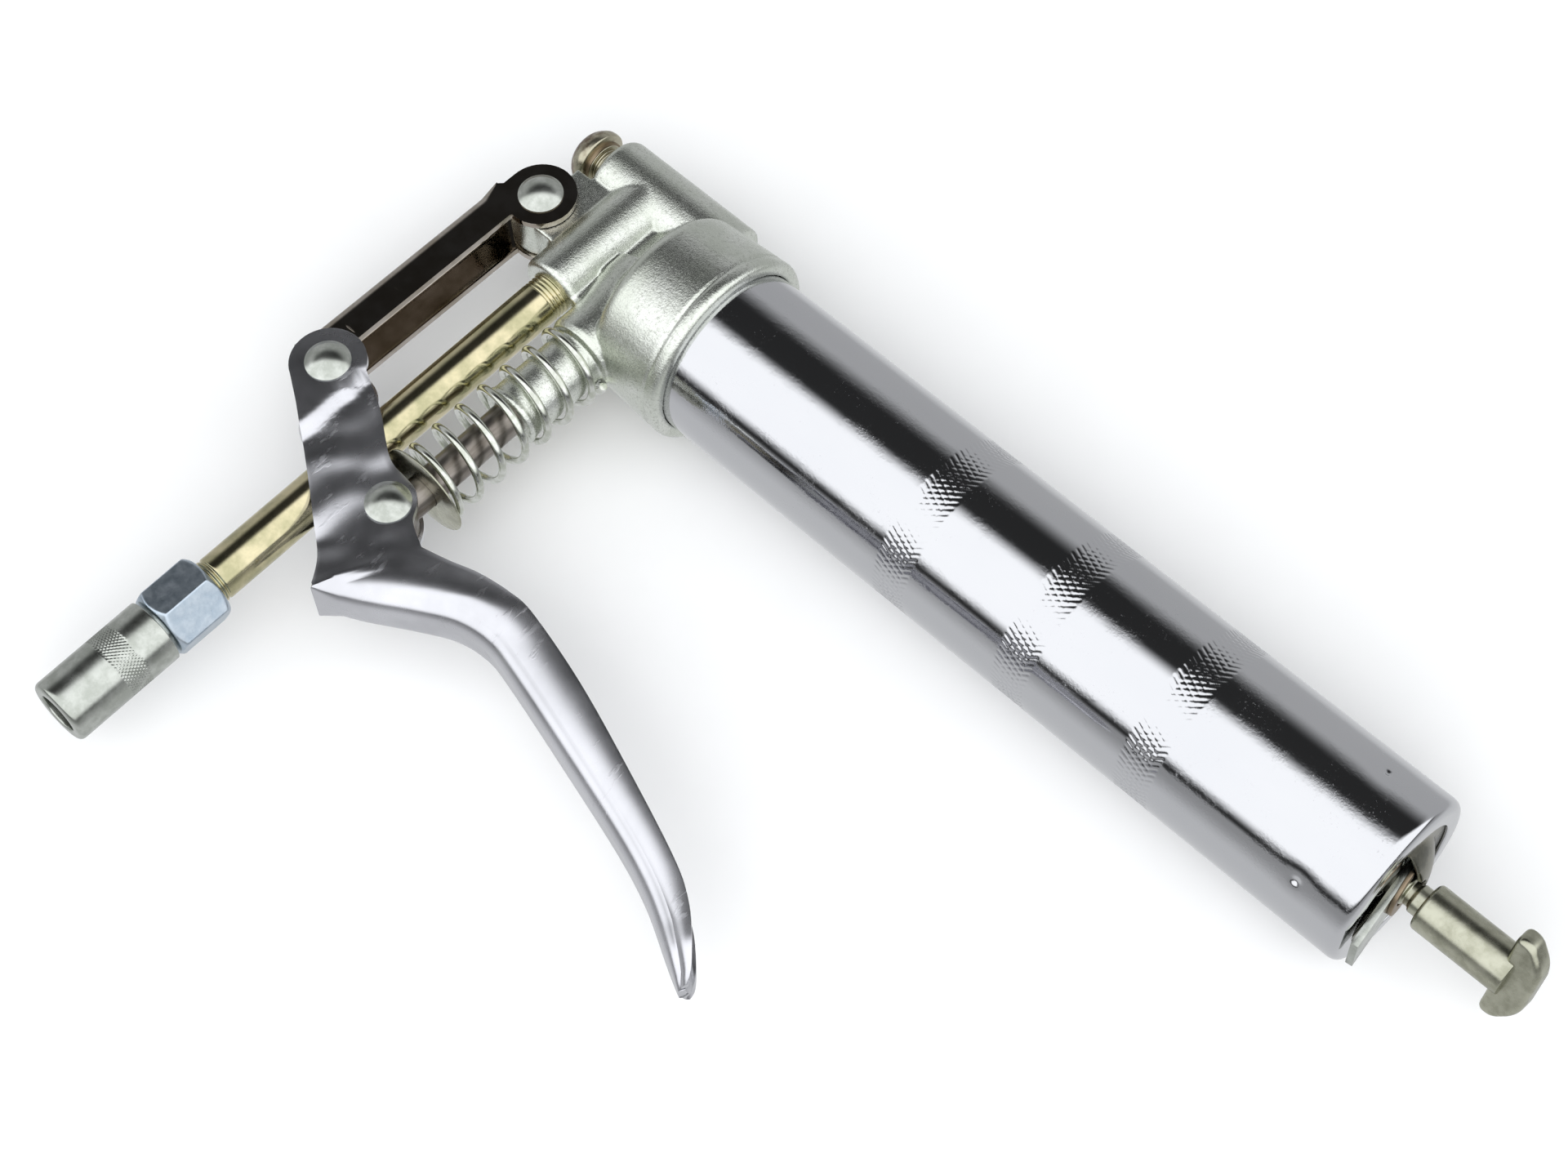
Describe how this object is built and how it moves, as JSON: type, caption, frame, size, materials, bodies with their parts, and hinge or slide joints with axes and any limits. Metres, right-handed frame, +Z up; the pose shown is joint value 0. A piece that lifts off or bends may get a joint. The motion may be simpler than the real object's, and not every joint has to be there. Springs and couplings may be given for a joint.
{
  "type": "mini pistol grip grease gun",
  "caption": "Hand lever grease gun: die-cast pump head, chromed barrel with spring follower and T-handle, outlet pipe with jaw coupler, link-hung squeeze lever.",
  "frame": {"origin": "under the middle of the gun's box, on the surface it lies on", "axes": "+X along the barrel from the pump head towards the T-handle, -Y along the outlet towards the coupler, +Z up, square to the plane the lever swings in"},
  "size_m": [0.2711, 0.174, 0.044],
  "materials": {
    "casting": "zinc plated die casting, satin, fine grain",
    "yellow_zinc": "yellow zinc plated, bright",
    "blue_zinc": "blue zinc plated, bright",
    "zinc_steel": "zinc plated, bright",
    "spring_steel": "zinc plated wire",
    "rod_steel": "ground steel, lightly browned",
    "rubber": "matt black",
    "dark_steel": "dark polished steel sheet with light scratches",
    "chrome_lever": "chrome plated pressed sheet",
    "chrome_barrel": "chrome plated tube, knurled bands",
    "handle_zinc": "zinc plated, slightly yellow, satin",
    "copper": "soft copper"
  },
  "bodies": {
    "head": {"head_casting": "casting", "outlet_pipe": "yellow_zinc", "coupler_body": "blue_zinc", "coupler_sleeve": "zinc_steel", "jaw_spring": "spring_steel", "plunger_seal": "rubber", "barrel_gasket": "rubber", "return_spring": "spring_steel", "check_spring": "spring_steel", "rivet_head_pivot": "zinc_steel"},
    "plunger": {"plunger_rod": "rod_steel", "spring_washer": "handle_zinc"},
    "link": {"link": "dark_steel", "rivet_link_pivot": "zinc_steel"},
    "lever": {"lever": "chrome_lever", "rivet_plunger_pivot": "zinc_steel"},
    "cap_screw": {"cap_screw": "zinc_steel", "cap_washer": "copper"},
    "barrel": {"barrel_tube": "chrome_barrel", "end_cap": "handle_zinc", "spring_seat": "zinc_steel", "latch_spring": "spring_steel", "follower_spring": "spring_steel"},
    "follower": {"follower_rod": "handle_zinc", "t_handle": "handle_zinc", "follower_front_plate": "zinc_steel", "follower_cup": "rubber", "follower_back_plate": "zinc_steel", "follower_nut": "blue_zinc"},
    "latch": {"latch_plate": "zinc_steel", "latch_washer": "copper"},
    "jaws": {"coupler_jaws": "rod_steel", "coupler_seal": "rubber"},
    "check_ball": {"check_ball": "rod_steel"}
  },
  "joints": [
    {"name": "plunger_slide", "type": "slide", "parent": "head", "child": "plunger", "axis": [0, 1, 0], "range_m": [0, 0.018], "stiffness_N_per_m": 900, "springref_m": -0.01, "deforming": ["return_spring"]},
    {"name": "lever_hinge", "type": "hinge", "parent": "plunger", "child": "lever", "pos_m": [-0.09367, -0.0121, 0.022], "axis": [0, 0, 1], "range_deg": [0, 29.83]},
    {"name": "link_hinge", "type": "hinge", "parent": "head", "child": "link", "pos_m": [-0.12507, 0.0609, 0.022], "axis": [0, 0, 1], "range_deg": [-3.2, 0]},
    {"name": "cap_screw_turn", "type": "hinge", "parent": "head", "child": "cap_screw", "pos_m": [-0.12427, 0.0787, 0.022], "axis": [1, 0, 0], "range_deg": [-900, 900]},
    {"name": "barrel_thread", "type": "hinge", "parent": "head", "child": "barrel", "pos_m": [0.01073, 0.0622, 0.022], "axis": [1, 0, 0], "range_deg": [-1890, 0]},
    {"name": "follower_slide", "type": "slide", "parent": "barrel", "child": "follower", "axis": [1, 0, 0], "range_m": [0, 0.12], "stiffness_N_per_m": 120, "springref_m": -0.1, "deforming": ["follower_spring"]},
    {"name": "latch_tilt", "type": "hinge", "parent": "barrel", "child": "latch", "pos_m": [0.10318, 0.0688, 0.022], "axis": [0, 0, 1], "range_deg": [-2.4, 0], "stiffness_Nm_per_rad": 0.5, "springref_deg": 5.73, "deforming": ["latch_spring"]},
    {"name": "jaws_slide", "type": "slide", "parent": "head", "child": "jaws", "axis": [0, 1, 0], "range_m": [0, 0.0015], "stiffness_N_per_m": 3000, "springref_m": -0.001, "deforming": ["jaw_spring"]},
    {"name": "check_ball_lift", "type": "slide", "parent": "head", "child": "check_ball", "axis": [-1, 0, 0], "range_m": [0, 0.0015], "stiffness_N_per_m": 400, "springref_m": -0.002, "deforming": ["check_spring"]}
  ],
  "couplings": [
    {"joint": "lever_hinge", "follows": "plunger_slide", "rad_per_m": 28.915},
    {"joint": "link_hinge", "follows": "plunger_slide", "rad_per_m": -3.0952}
  ]
}
